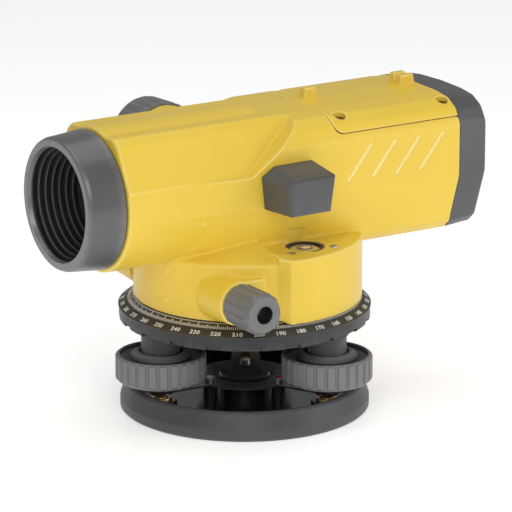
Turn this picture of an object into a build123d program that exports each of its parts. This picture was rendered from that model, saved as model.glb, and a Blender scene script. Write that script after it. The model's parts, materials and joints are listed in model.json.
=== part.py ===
"""Automatic level (surveying instrument) as an assembly of separate pieces, in millimetres.

Frame: +Z up along the standing axis, origin at the centre of the tripod thread on the base plate's underside.
The telescope lies along X, with the objective at -X and the eyepiece at +X. The circular level and its prism
are on the -Y side, the focusing knob on the +Y side. One STEP file is written for each named piece.
"""

from build123d import *
from math import atan, cos, degrees, pi, radians, sin, sqrt
import os

# ---------------------------------------------------------------- driving dimensions
# Base plate and tripod thread (5/8 inch)
BASE_R = 54.0
BASE_RIM_TOP = 12.3
BASE_RIM_TOP_R = 51.8
BASE_FLOOR = 4.5
BOSS_R = 11.0
BOSS_TOP = 14.0
TRIPOD_THREAD_R = 7.94
TRIPOD_BUSH_R = 9.6
TRIPOD_THREAD_LENGTH = 14.0

# Foot screws: one towards the objective, two towards the eyepiece
FOOT_CIRCLE_R = 41.0
FOOT_ANGLES = {"front": 177.0, "left": 297.0, "right": 57.0}
FOOT_BALL_Z = 8.0
FOOT_BALL_R = 3.4
FOOT_NECK_R = 2.2
FOOT_SHAFT_R = 3.0
FOOT_SHAFT_TOP = 36.0
SHOE_R = 4.6
FOOT_KNOB_R = 19.5
FOOT_KNOB_Z0 = 17.5
FOOT_KNOB_Z1 = 29.2
FOOT_KNOB_FLUTES = 26
FOOT_BOSS_R = 8.4
SPRING_Z = 12.4
SPRING_T = 0.8
SPRING_SCREW_R = 17.0

# Levelling head, horizontal circle, standing axis
HEAD_R = 48.5
HEAD_Z0 = 34.6
HEAD_Z1 = 39.5
CIRCLE_BORE_R = 40.0
CIRCLE_R = 54.5
CIRCLE_BOTTOM_Z = 40.0
CIRCLE_EDGE_Z = 46.1
CIRCLE_BREAK_R = 50.6
CIRCLE_BREAK_Z = 48.5
CIRCLE_TOP_R = 47.6
CIRCLE_TOP_Z = 50.5
CIRCLE_NOTCHES = 20
SPINDLE_R = 9.0
SPINDLE_NECK_R = 6.0
FLANGE_Z = 49.9
RUNNING_CLEARANCE = 0.04

# Telescope
AXIS_Z = 102.5
TUBE_FRONT_X = -75.0
HOOD_FRONT_X = -92.5
HOOD_FRONT_R = 28.3
HOOD_BACK_R = 29.8
TUBE_R = 31.2
TUBE_TOP_Z = 131.8
TUBE_TOP_HALF = 17.5
CREASE_Z = 111.0
REAR_HALF = 34.7
REAR_TOP_Z = 132.2
REAR_X1 = 88.0
CAP_X1 = 103.0
COVER_X0 = 25.0
COVER_Z = 123.4
WALL = 2.6
COVER_GAP = 0.35
COVER_SEAT_Z = 127.2
SIDE_X0 = -14.0

# Lower housing
DRUM_Z0 = 51.0
DRUM_BOTTOM_R = 48.0
DRUM_TOP_R = 47.6
DRUM_EDGE_Z = 76.0
PLATE_Z = 79.0
CAVITY_Z = 68.5
DRUM_CAVITY_R = 45.0
LEVEL_XY = (6.6, -37.2)
LEVEL_R = 8.4

# Fine motion and focusing drives
FINE_X, FINE_Z = -31.0, 61.3
KNOB_END_Y = 65.0
FINE_KNOB_R = 9.0
FINE_KNOB_Y0 = 46.2
FINE_BOSS_Y = 45.8
GEAR_TEETH = 104
GEAR_MODULE = 0.5
GEAR_PITCH_R = GEAR_TEETH * GEAR_MODULE / 2
WORM_PITCH_R = -FINE_X - GEAR_PITCH_R
FOCUS_X, FOCUS_Z = -12.4, 109.4
FOCUS_KNOB_R = 17.0
FOCUS_BOSS_R = 15.8
FOCUS_KNOB_Y0 = 46.6
PINION_TEETH = 12
PINION_R = 3.0

RACK_TOP = FOCUS_Z - PINION_R
RACK_Z0 = RACK_TOP - 3.0
RACK_Y = (17.0, 21.0)

# Optics
HOOD_STEPS = 7
HOOD_MOUTH_R = 24.0
LENS_R = 16.0
GUIDE_R_OUT, GUIDE_R_IN = 15.9, 13.1
GUIDE_X1 = 19.0
CELL_X0, CELL_X1 = -27.0, -12.0
EYE_END_X = HOOD_FRONT_X + 209.5

# Compensator
FLOOR_Z = 74.6
BRIDGE_Z = 124.6
YOKE_Z = 109.5
FRAME_X = (29.0, 65.0)
FRAME_MID = 47.0

# Prism hood over the circular level
HOOD_X = (-12.3, 11.0)
HOOD_Y = (-55.0, -REAR_HALF)
HOOD_Z = (96.8, 114.4)

os.makedirs("parts", exist_ok=True)


# ---------------------------------------------------------------- helpers
def save(name, *solids):
    """Writes one node: a single solid, or a group of separate solids."""
    flat = []
    for item in solids:
        flat += list(item.solids())
    shape = flat[0] if len(flat) == 1 else Compound(children=flat)
    export_step(shape, f"parts/{name}.step")
    return shape


def box(x, y, z):
    """A box from three (low, high) pairs."""
    size = [high - low for low, high in (x, y, z)]
    centre = [(high + low) / 2 for low, high in (x, y, z)]
    return Pos(*centre) * Box(*size)


def rod_x(r, x0, x1, y=0.0, z=AXIS_Z):
    """A cylinder along X."""
    return Pos((x0 + x1) / 2, y, z) * Rot(0, 90, 0) * Cylinder(r, x1 - x0)


def rod_y(r, y0, y1, x, z):
    """A cylinder along Y."""
    return Pos(x, (y0 + y1) / 2, z) * Rot(90, 0, 0) * Cylinder(r, y1 - y0)


def rod_z(r, z0, z1, x=0.0, y=0.0):
    """A cylinder along Z."""
    return Pos(x, y, (z0 + z1) / 2) * Cylinder(r, z1 - z0)


def ring_x(r_out, r_in, x0, x1, y=0.0, z=AXIS_Z):
    return rod_x(r_out, x0, x1, y, z) - rod_x(r_in, x0 - 1, x1 + 1, y, z)


def ring_z(r_out, r_in, z0, z1, x=0.0, y=0.0):
    return rod_z(r_out, z0, z1, x, y) - rod_z(r_in, z0 - 1, z1 + 1, x, y)


def turned_z(points, x=0.0, y=0.0):
    """A solid turned about Z from (radius, z) points."""
    face = make_face(Plane.XZ * Polyline(*points, close=True))
    return Pos(x, y, 0) * revolve(face, Axis.Z)


def turned_x(points, y=0.0, z=AXIS_Z):
    """A solid turned about an axis along X from (x, radius) points."""
    face = make_face(Plane.XZ * Polyline(*points, close=True))
    return Pos(0, y, z) * revolve(face, Axis.X)


def turned_y(points, x, z):
    """A solid turned about an axis along Y from (y, radius) points."""
    upright = turned_z([(radius, -y) for y, radius in points])
    return Pos(x, 0, z) * Rot(90, 0, 0) * upright


def section_x(sketch, x0, x1):
    """Extrudes a sketch drawn in (y, z) along X."""
    return extrude(Plane.YZ.offset(x0) * sketch, x1 - x0, dir=(1, 0, 0))


def profile_y(points, y0, y1):
    """Extrudes a polygon of (x, z) points along Y."""
    face = make_face(Plane.XZ.offset(-y1) * Polyline(*points, close=True))
    return extrude(face, y1 - y0, dir=(0, -1, 0))


def polar(r, angle, z=0.0):
    return (r * cos(radians(angle)), r * sin(radians(angle)), z)


def around_z(shape, count, first=0.0):
    """Copies of a shape at equal angles about Z."""
    return [Rot(0, 0, first + 360.0 * i / count) * shape for i in range(count)]


def fluted_z(r, z0, z1, count, groove_r, depth):
    """A cylinder with round grooves along it."""
    body = rod_z(r, z0, z1)
    groove = rod_z(groove_r, z0 - 1, z1 + 1, r + groove_r - depth)
    return body - around_z(groove, count)


def rounded_corners(polygon, corners):
    """Rounds the named corners of a polygon sketch: a list of ((y, z), radius)."""
    for (y, z), radius in corners:
        nearest = min(polygon.vertices(), key=lambda v: abs(v.X - y) + abs(v.Y - z))
        polygon = fillet([nearest], radius)
    return polygon


def mirrored(points):
    """Adds the mirror image of a list of (y, z) points, to close a symmetric outline."""
    return points + [(-y, z) for y, z in reversed(points)]


# ---------------------------------------------------------------- telescope sections, in (y, z)
def front_section(inset=0.0):
    """Round below, with a flat top and slanted shoulders."""
    shoulder = Polygon(
        *mirrored(
            [
                (TUBE_TOP_HALF - inset * 0.7, TUBE_TOP_Z - inset),
                (TUBE_TOP_HALF + 3.5 - inset, TUBE_TOP_Z - 2.6 - inset),
                (TUBE_R - 0.3 - inset, CREASE_Z),
                (TUBE_R - 8.0 - inset, AXIS_Z - 4),
            ]
        ),
        align=None,
    )
    return Pos(0, AXIS_Z) * Circle(TUBE_R - inset) + shoulder


def rear_section(inset=0.0, shrink=0.0):
    """Crowned top with round corners, upright sides and slanted lower sides."""
    half = REAR_HALF - shrink
    top = REAR_TOP_Z - shrink
    low = 72.0 + shrink
    polygon = Polygon(
        *mirrored(
            [
                (half - 18.2, top - 0.5),
                (half - 9.7, top - 1.7),
                (half - 3.7, top - 5.1),
                (half, top - 11.2),
                (half, 97.5),
                (half - 7.2, low + 3.4),
                (half - 11.0, low),
            ]
        ),
        (0.0, top),
        align=None,
    )
    corners = [
        ((half - 18.2, top - 0.5), 18.0),
        ((half - 9.7, top - 1.7), 6.0),
        ((half - 3.7, top - 5.1), 5.0),
        ((half, top - 11.2), 6.0),
        ((half, 97.5), 8.0),
        ((half - 7.2, low + 3.4), 3.0),
    ]
    corners += [((-y, z), radius) for (y, z), radius in corners]
    polygon = rounded_corners(polygon, corners)
    return offset(polygon, -inset) if inset else polygon


def rear_outer():
    """The wide rear half, with its slanted front step above the crease."""
    side = [
        (SIDE_X0, 76.0),
        (SIDE_X0, CREASE_Z),
        (-18.0, CREASE_Z),
        (12.0, 132.5),
        (12.0, 140.0),
        (REAR_X1, 140.0),
        (REAR_X1, 60.0),
        (10.0, 60.0),
    ]
    return section_x(rear_section(), -30.0, REAR_X1) & profile_y(side, -50, 50)


def neck():
    """Upright sides that carry the telescope down to the level's plate, with a slanted rear end."""
    side = [(SIDE_X0, 74.0), (SIDE_X0, 98.0), (48.0, 98.0), (47.6, 96.4), (33.0, 91.7), (24.0, 85.0), (20.0, 74.0)]
    return profile_y(side, -REAR_HALF + 5.4, REAR_HALF - 5.4)


def cheeks():
    """Sides that widen from the round tube to the upright sides, below the crease."""
    pair = []
    front = [(29.8, CREASE_Z), (30.5, 97.5), (21.0, 81.0), (12.0, 74.4), (5.0, 74.4), (5.0, CREASE_Z)]
    back = [(REAR_HALF, CREASE_Z), (REAR_HALF, 97.5), (29.3, 81.0), (29.3, 74.0), (5.0, 74.0), (5.0, CREASE_Z)]
    for side in (-1, 1):
        faces = []
        for x, points in ((-52.0, front), (SIDE_X0, back)):
            outline = Polyline(*[(side * y, z) for y, z in points], close=True)
            faces.append(make_face(Plane.YZ.offset(x) * outline))
        pair.append(loft(faces, ruled=True))
    return pair[0] + pair[1]


def level_block_outline(inset=0.0):
    """Plan of the block that carries the circular level."""
    keep = Polygon((-12.2, -46.4), (-7.5, -50.5), (-3.5, -54.0), (65.0, -54.0),
                   (65.0, 54.0), (-3.5, 54.0), (-7.5, 50.5), (-12.2, 46.4), align=None)
    plan = Circle(50.6) & keep
    return offset(plan, -inset) if inset else plan


def circle_envelope():
    """Space that the horizontal circle turns in, with clearance."""
    gap = 0.4
    return turned_z(
        [
            (0, 30.0),
            (CIRCLE_R + 1.0, 30.0),
            (CIRCLE_R + 1.0, CIRCLE_EDGE_Z + gap),
            (CIRCLE_BREAK_R + gap, CIRCLE_BREAK_Z + gap),
            (CIRCLE_TOP_R + gap, CIRCLE_TOP_Z + gap),
            (0, CIRCLE_TOP_Z + gap),
        ]
    )


def lower_outer():
    """Drum, level block and the two fine-motion bosses."""
    drum = turned_z(
        [
            (0, DRUM_Z0),
            (DRUM_BOTTOM_R, DRUM_Z0),
            (DRUM_TOP_R, DRUM_EDGE_Z - 1.0),
            (DRUM_TOP_R - 1.2, DRUM_EDGE_Z),
            (27.0, PLATE_Z + 5.5),
            (0, PLATE_Z + 5.5),
        ]
    )
    flat = [(-11.5, PLATE_Z), (-17.0, 95.0), (70.0, 95.0), (70.0, PLATE_Z)]
    drum = drum - profile_y(flat, -60.0, 60.0)
    low = CIRCLE_BREAK_Z + 0.5
    block = extrude(Plane.XY.offset(low) * level_block_outline(), PLATE_Z - low)
    slope = [(45.5, PLATE_Z), (60.0, PLATE_Z - 5.0), (60.0, PLATE_Z + 5.0), (45.5, PLATE_Z + 5.0)]
    block = block - circle_envelope() - turned_z(slope)
    bosses = Part()
    for side in (-1, 1):
        cone = [(0, 0), (side * 28.0, 0), (side * 28.0, 10.4), (side * FINE_BOSS_Y, 9.4), (side * FINE_BOSS_Y, 0)]
        shoulder = box((FINE_X, -18.2), sorted((side * 28.0, side * FINE_BOSS_Y)), (DRUM_Z0, FINE_Z + 9.1))
        bosses = bosses + turned_y(cone[1:], FINE_X, FINE_Z) + shoulder
    return drum + block + (bosses - circle_envelope())


# ---------------------------------------------------------------- base
def base_plate():
    rim = turned_z(
        [
            (TRIPOD_BUSH_R, 0),
            (BASE_R - 1.0, 0),
            (BASE_R, 1.0),
            (BASE_R, 4.8),
            (BASE_RIM_TOP_R, BASE_RIM_TOP - 0.8),
            (BASE_RIM_TOP_R - 0.8, BASE_RIM_TOP),
            (BASE_RIM_TOP_R - 2.4, BASE_RIM_TOP),
            (BASE_RIM_TOP_R - 3.2, BASE_FLOOR),
            (BOSS_R, BASE_FLOOR),
            (BOSS_R, BOSS_TOP - 0.6),
            (BOSS_R - 0.6, BOSS_TOP),
            (TRIPOD_BUSH_R, BOSS_TOP),
        ]
    )
    for angle in FOOT_ANGLES.values():
        x, y, _ = polar(FOOT_CIRCLE_R, angle)
        pad = rod_z(6.9, BASE_FLOOR - 1.0, FOOT_BALL_Z + 0.4, x, y)
        rim = rim + pad - Pos(x, y, FOOT_BALL_Z) * Sphere(SHOE_R + 0.1)
        mx, my, _ = polar(SPRING_SCREW_R, angle)
        post = rod_z(3.0, BASE_FLOOR - 1.0, SPRING_Z, mx, my)
        rim = rim + post - rod_z(1.2, 5.0, 14.0, mx, my)
    underside = ring_z(45.0, 20.0, -1.0, 1.2)
    return rim - underside


def tripod_bush():
    return ring_z(TRIPOD_BUSH_R, TRIPOD_THREAD_R, BOSS_TOP - TRIPOD_THREAD_LENGTH, BOSS_TOP)


def spring_plate():
    """Sprung sheet with three arms that hold the ball feet in their sockets."""
    plate = rod_z(21.0, SPRING_Z, SPRING_Z + SPRING_T)
    for angle in FOOT_ANGLES.values():
        x, y, _ = polar(FOOT_CIRCLE_R, angle)
        arm = Rot(0, 0, angle) * box((10.0, FOOT_CIRCLE_R), (-6.0, 6.0), (SPRING_Z, SPRING_Z + SPRING_T))
        plate = plate + arm + rod_z(6.0, SPRING_Z, SPRING_Z + SPRING_T, x, y)
    for angle in FOOT_ANGLES.values():
        x, y, _ = polar(FOOT_CIRCLE_R, angle)
        mx, my, _ = polar(SPRING_SCREW_R, angle)
        plate = plate - rod_z(FOOT_NECK_R + 0.9, 0, 20, x, y) - rod_z(1.4, 0, 20, mx, my)
    return plate - rod_z(BOSS_R + 0.8, 0, 20)


def spring_plate_screws():
    screws = []
    top = SPRING_Z + SPRING_T
    for angle in FOOT_ANGLES.values():
        x, y, _ = polar(SPRING_SCREW_R, angle)
        screw = rod_z(1.2, 5.0, top, x, y) + rod_z(2.4, top, top + 1.4, x, y)
        screws.append(screw - box((x - 3, x + 3), (y - 0.35, y + 0.35), (top + 0.7, top + 2)))
    return screws


# ---------------------------------------------------------------- foot screws
def foot_spindle(x, y):
    """Brass spindle: ball foot, collar under the knob and a shaft at the thread's diameter."""
    ball = Pos(x, y, FOOT_BALL_Z) * Sphere(FOOT_BALL_R)
    neck_rod = rod_z(FOOT_NECK_R, FOOT_BALL_Z, 15.0, x, y)
    collar = rod_z(5.0, 15.0, FOOT_KNOB_Z0, x, y)
    shaft = rod_z(FOOT_SHAFT_R, FOOT_KNOB_Z0, FOOT_SHAFT_TOP, x, y)
    return ball + neck_rod + collar + shaft


def foot_knob(x, y):
    """Fluted knob with a dished top and a raised collar round the head's boss."""
    blank = fluted_z(FOOT_KNOB_R, FOOT_KNOB_Z0, FOOT_KNOB_Z1, FOOT_KNOB_FLUTES, 0.95, 0.9)
    trim = turned_z(
        [
            (0, FOOT_KNOB_Z0),
            (FOOT_KNOB_R - 1.5, FOOT_KNOB_Z0),
            (FOOT_KNOB_R, FOOT_KNOB_Z0 + 1.5),
            (FOOT_KNOB_R, FOOT_KNOB_Z1 - 0.8),
            (FOOT_KNOB_R - 1.0, FOOT_KNOB_Z1),
            (0, FOOT_KNOB_Z1),
        ]
    )
    top = FOOT_KNOB_Z1
    dish = ring_z(17.6, 13.0, top - 0.9, top + 1)
    collar = turned_z([(8.0, top - 2), (13.0, top - 2), (13.0, top - 0.6), (10.7, top + 1.2), (8.0, top + 1.2)])
    well = rod_z(FOOT_BOSS_R + 1.0, FOOT_KNOB_Z0 + 4.4, top + 2)
    knob = (blank & trim) - dish + collar - well - rod_z(FOOT_SHAFT_R, 0, 60)
    return Pos(x, y, 0) * knob


def thrust_washer(x, y):
    """Loose washer under the spring plate, round the ball foot's neck."""
    return ring_z(4.8, FOOT_NECK_R + 0.6, 11.0, 11.8, x, y)


def foot_shoe(x, y):
    """Round-backed cup that holds the ball and swivels in the base plate's socket."""
    shoe = Pos(x, y, FOOT_BALL_Z) * (Sphere(SHOE_R) - Sphere(FOOT_BALL_R + 0.04))
    return shoe & rod_z(10.0, 0, FOOT_BALL_Z + 1.4, x, y)


# ---------------------------------------------------------------- levelling head
def head_casting():
    """Plate with three bosses for the foot screws and a shoulder for the circle."""
    top = CIRCLE_EDGE_Z
    body = turned_z(
        [
            (SPINDLE_NECK_R, HEAD_Z0 - 4.0),
            (17.0, HEAD_Z0 - 4.0),
            (20.0, HEAD_Z0),
            (34.0, HEAD_Z0),
            (HEAD_R, HEAD_Z1 - 0.9),
            (HEAD_R, HEAD_Z1),
            (CIRCLE_BORE_R, HEAD_Z1),
            (CIRCLE_BORE_R, top),
            (34.0, top),
            (32.0, HEAD_Z1),
            (SPINDLE_NECK_R, HEAD_Z1),
        ]
    )
    for angle in FOOT_ANGLES.values():
        x, y, _ = polar(FOOT_CIRCLE_R, angle)
        body = body + rod_z(FOOT_BOSS_R, 25.6, HEAD_Z1, x, y)
    for angle in FOOT_ANGLES.values():
        x, y, _ = polar(FOOT_CIRCLE_R, angle)
        body = body - rod_z(5.0, 20.0, 38.2, x, y)
    return body


def foot_bushes():
    """Tapped bushes pressed into the head, which the foot screws turn in."""
    bushes = []
    for angle in FOOT_ANGLES.values():
        x, y, _ = polar(FOOT_CIRCLE_R, angle)
        bushes.append(ring_z(5.0, FOOT_SHAFT_R + RUNNING_CLEARANCE, 25.6, 38.2, x, y))
    return bushes


def spindle():
    """Steel standing axis, pressed into the head, with a groove for the clip."""
    return turned_z(
        [
            (0, HEAD_Z0 - 4.0),
            (SPINDLE_NECK_R, HEAD_Z0 - 4.0),
            (SPINDLE_NECK_R, HEAD_Z1),
            (SPINDLE_R + 3.5, HEAD_Z1),
            (SPINDLE_R + 3.5, FLANGE_Z),
            (SPINDLE_R, FLANGE_Z),
            (SPINDLE_R, 58.4),
            (SPINDLE_NECK_R, 58.4),
            (SPINDLE_NECK_R, 66.0),
            (SPINDLE_NECK_R - 0.8, 66.0),
            (SPINDLE_NECK_R - 0.8, 67.0),
            (SPINDLE_NECK_R, 67.0),
            (SPINDLE_NECK_R, 67.6),
            (SPINDLE_NECK_R - 0.5, 68.1),
            (0, 68.1),
        ]
    )


def retaining_clip():
    """Circlip in the spindle's groove, above the clutch spring."""
    return ring_z(8.6, SPINDLE_NECK_R - 0.8, 66.0, 67.0) - box((4.5, 12), (-1.8, 1.8), (60, 70))


def horizontal_circle():
    """Graduated ring with notches cut in its lower edge."""
    bore = CIRCLE_BORE_R + RUNNING_CLEARANCE
    ring = turned_z(
        [
            (bore, CIRCLE_BOTTOM_Z),
            (CIRCLE_R - 1.0, CIRCLE_BOTTOM_Z),
            (CIRCLE_R - 0.3, CIRCLE_BOTTOM_Z + 0.7),
            (CIRCLE_R - 0.3, CIRCLE_EDGE_Z - 0.8),
            (CIRCLE_R, CIRCLE_EDGE_Z - 0.3),
            (CIRCLE_R, CIRCLE_EDGE_Z),
            (CIRCLE_BREAK_R, CIRCLE_BREAK_Z),
            (CIRCLE_TOP_R, CIRCLE_TOP_Z),
            (CIRCLE_TOP_R - 1.2, CIRCLE_TOP_Z),
            (CIRCLE_TOP_R - 1.8, CIRCLE_EDGE_Z),
            (bore, CIRCLE_EDGE_Z),
        ]
    )
    notch = box((52.4, 60.0), (-3.5, 3.5), (CIRCLE_BOTTOM_Z - 1, CIRCLE_BOTTOM_Z + 1.6))
    return ring - around_z(notch, CIRCLE_NOTCHES, 8.0)


# ---------------------------------------------------------------- fine-motion drive
def gear_outline(teeth, pitch_r, addendum, dedendum, fill):
    """A gear's plan with straight-sided teeth, a little thinner than the gaps."""
    step = 360.0 / teeth
    points = []
    for i in range(teeth):
        middle = i * step
        for share, r in ((-0.30, pitch_r - dedendum), (-0.5 * fill * 0.62, pitch_r + addendum),
                         (0.5 * fill * 0.62, pitch_r + addendum), (0.30, pitch_r - dedendum)):
            x, y, _ = polar(r, middle + share * step)
            points.append((x, y))
    return make_face(Polyline(*points, close=True))


def drive_gear():
    """Worm wheel on the spindle's neck, held by the clutch spring."""
    outline = Rot(0, 0, 180.0) * gear_outline(GEAR_TEETH, GEAR_PITCH_R, 0.3, 0.5, 0.5)
    wheel = extrude(Plane.XY.offset(FINE_Z - 1.0) * outline, 2.0, dir=(0, 0, 1))
    hub = rod_z(9.0, 58.5, 65.9)
    wells = ring_z(22.0, 11.5, FINE_Z + 0.3, FINE_Z + 3) + ring_z(22.0, 11.5, FINE_Z - 3, FINE_Z - 0.3)
    return wheel + hub - wells - rod_z(SPINDLE_NECK_R + RUNNING_CLEARANCE, 50, 70)


def worm():
    """Single-start worm on the fine-motion shaft."""
    pitch = pi * GEAR_MODULE
    root_r = WORM_PITCH_R - 0.5
    turns = 6
    path = Helix(pitch, turns * pitch, root_r)
    across = Plane(origin=path @ 0, x_dir=(0, 0, 1), z_dir=path % 0)
    tooth = Polygon((-0.44, -0.1), (0.44, -0.1), (0.18, 0.8), (-0.18, 0.8), align=None)
    thread = sweep(across * tooth, path=path, is_frenet=True)
    core = Pos(0, 0, turns * pitch / 2) * Cylinder(root_r, turns * pitch + 3.0)
    shape = Rot(0, 0, 180) * Pos(0, 0, -turns * pitch / 2) * (core + thread)
    shape = shape - Cylinder(1.5, 40)
    return Pos(FINE_X, 0, FINE_Z) * Rot(90, 0, 0) * shape


def fine_shaft():
    return rod_y(1.5, -KNOB_END_Y + 6.0, KNOB_END_Y - 6.0, FINE_X, FINE_Z)


def fine_knob(side):
    """Fluted knob with a blind recess in its end."""
    length = KNOB_END_Y - FINE_KNOB_Y0
    blank = fluted_z(FINE_KNOB_R, 0, length, 14, 1.6, 0.8)
    trim = turned_z(
        [
            (0, 0),
            (FINE_KNOB_R - 0.6, 0),
            (FINE_KNOB_R, 0.6),
            (FINE_KNOB_R, length - 2.6),
            (FINE_KNOB_R - 1.4, length),
            (0, length),
        ]
    )
    knob = (blank & trim) - rod_z(3.8, length - 5.0, length + 1) - rod_z(1.5, -1, length)
    turn = 90 if side < 0 else -90
    return Pos(FINE_X, side * FINE_KNOB_Y0, FINE_Z) * Rot(turn, 0, 0) * knob


def fine_bearings():
    """Flanged bushes that carry the shaft in the housing's two bosses."""
    bushes = []
    bore = 1.5 + RUNNING_CLEARANCE
    for side in (-1, 1):
        outer = side * FINE_BOSS_Y
        steps = [(outer, bore), (outer, 5.0), (outer - side * 1.4, 5.0), (outer - side * 1.4, 3.5)]
        steps += [(outer - side * 9.0, 3.5), (outer - side * 9.0, bore)]
        bushes.append(turned_y(steps, FINE_X, FINE_Z))
    return bushes


# ---------------------------------------------------------------- main housing
def main_housing():
    """One casting: telescope tube, open at the top rear and the back, and the lower drum, open below."""
    tube = section_x(front_section(), TUBE_FRONT_X + 0.7, 0.0)
    tube = tube + (section_x(front_section(), 0.0, 14.0) & section_x(rear_section(), 0.0, 14.0))
    tube = tube + section_x(front_section(0.6), TUBE_FRONT_X, TUBE_FRONT_X + 0.7)
    focus_boss = rod_y(FOCUS_BOSS_R, 15.0, FOCUS_KNOB_Y0 - 0.4, FOCUS_X, FOCUS_Z)
    outer = tube + cheeks() + rear_outer() + neck() + lower_outer() + focus_boss

    # telescope hollow, with a bulkhead behind the focusing guide
    outer = outer - rod_x(26.0, TUBE_FRONT_X - 1, -58.0)
    outer = outer - section_x(front_section(WALL), -60.0, 9.6)
    outer = outer - section_x(rear_section(WALL), 8.6, REAR_X1 + 1)
    bulkhead = section_x(rear_section(1.0), GUIDE_X1 - 2.5, GUIDE_X1)
    outer = outer + bulkhead - rod_x(GUIDE_R_OUT, 0, 30)

    # drum hollow, under a floor that follows the tube
    drum = rod_z(DRUM_CAVITY_R, 40.0, CAVITY_Z)
    pocket = extrude(Plane.XY.offset(40.0) * level_block_outline(3.0), CAVITY_Z - 40.0)
    outer = outer - (drum + pocket)

    # cover's seat, level's well, drives' bores
    outer = outer - cover_space(0.0)
    outer = outer - rod_z(LEVEL_R, 70.5, 85, *LEVEL_XY)
    for x, y in level_screw_points():
        outer = outer - rod_z(1.1, 71.0, 85, x, y) - rod_z(2.1, PLATE_Z - 0.9, 85, x, y)
    outer = outer - rod_y(4.0, 25, 60, FOCUS_X, FOCUS_Z)
    for side in (-1, 1):
        inner, step, end = (side * y for y in (30.0, FINE_BOSS_Y - 1.4, 60.0))
        outer = outer - rod_y(3.5, *sorted((inner, end)), FINE_X, FINE_Z)
        outer = outer - rod_y(5.0, *sorted((step, end)), FINE_X, FINE_Z)

    # slanted grip grooves on both sides
    for i in range(4):
        slot = Pos(36.1 + 12.3 * i, 0, 110.8) * Rot(0, 38.5, 0) * Cylinder(1.6, 20.5)
        for side in (-1, 1):
            outer = outer - Pos(0, side * (REAR_HALF + 0.7), 0) * slot

    # posts for the cover's screws, and lugs for the rear cap's screws
    for x, y in cover_screw_points():
        side = 1 if y > 0 else -1
        low = box((x - 2.6, x + 3), sorted((y - side * 3.0, y + side * 6.0)), (112.0, COVER_Z))
        tall = box((x - 2.6, x + 3), sorted((y - side * 3.0, y + side * 6.0)), (112.0, COVER_SEAT_Z - 2.0))
        outer = outer + (low & section_x(rear_section(1.0), 5, REAR_X1))
        outer = outer + (tall & section_x(rear_section(WALL + 0.4), 5, REAR_X1)) - rod_z(1.2, 118.0, 135, x, y)
    for y, z in cap_screw_points():
        lug = section_x(Pos(y, z) * Circle(3.4), 78.0, REAR_X1) & section_x(rear_section(0.6), 5, REAR_X1)
        outer = outer + lug - rod_x(1.2, 80.0, REAR_X1 + 1, y, z)
    return outer


def cover_space(gap):
    """What the top cover takes out of the rear half."""
    x0 = COVER_X0 + gap
    z0 = COVER_Z + gap
    side = Pos((x0 + 120) / 2, (z0 + 160) / 2) * Rectangle(120 - x0, 160 - z0)
    side = rounded_corners(side, [((x0, z0), 4.0)])
    return extrude(Plane.XZ.offset(-60) * side, 120, dir=(0, -1, 0))


def cover_screw_points():
    return [(x, y) for x in (31.5, 84.4) for y in (-25.4, 25.4)]


def cap_screw_points():
    return [(y, z) for y, z in ((-29.0, 110.0), (29.0, 110.0), (-23.4, 78.8), (23.4, 78.8))]


def level_screw_points():
    x, y = LEVEL_XY
    return [(x + 12.3 * cos(radians(a)), y + 12.3 * sin(radians(a))) for a in (-150, -30)]


def top_cover():
    """Crowned cover with the two open sights moulded on."""
    outer = section_x(rear_section(), COVER_X0, REAR_X1)
    shell = outer - section_x(rear_section(WALL), COVER_X0 + 2.6, REAR_X1 + 1)
    sleeves = [rod_z(3.6, COVER_SEAT_Z - 1.8, 131.0, x, y) for x, y in cover_screw_points()]
    for sleeve in sleeves:
        shell = shell + (sleeve & outer)
    cover = shell & cover_space(COVER_GAP)
    front = profile_y([(28.4, 131.0), (36.0, 131.0), (34.8, 137.0), (29.6, 137.0)], -2.3, 2.3)
    rear = profile_y([(76.6, 131.0), (85.2, 131.0), (84.0, 137.0), (77.8, 137.0)], -4.5, 4.5)
    notch = section_x(Polygon((0, 133.8), (2.0, 139.2), (-2.0, 139.2), align=None), 60.0, 100.0)
    cover = cover + front + (rear - notch)
    for x, y in cover_screw_points():
        cover = cover - rod_z(1.4, 120, 140, x, y) - rod_z(2.7, COVER_SEAT_Z, 140, x, y)
    return cover


def cover_screws():
    """Four cross-recessed screws in the cover's wells."""
    screws = []
    for x, y in cover_screw_points():
        top = COVER_SEAT_Z + 1.3
        screw = rod_z(1.2, 118.0, COVER_SEAT_Z, x, y) + rod_z(2.4, COVER_SEAT_Z, top, x, y)
        cross = box((x - 1.5, x + 1.5), (y - 0.3, y + 0.3), (top - 0.8, top + 1))
        cross = cross + box((x - 0.3, x + 0.3), (y - 1.5, y + 1.5), (top - 0.8, top + 1))
        screws.append(screw - cross)
    return screws


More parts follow.
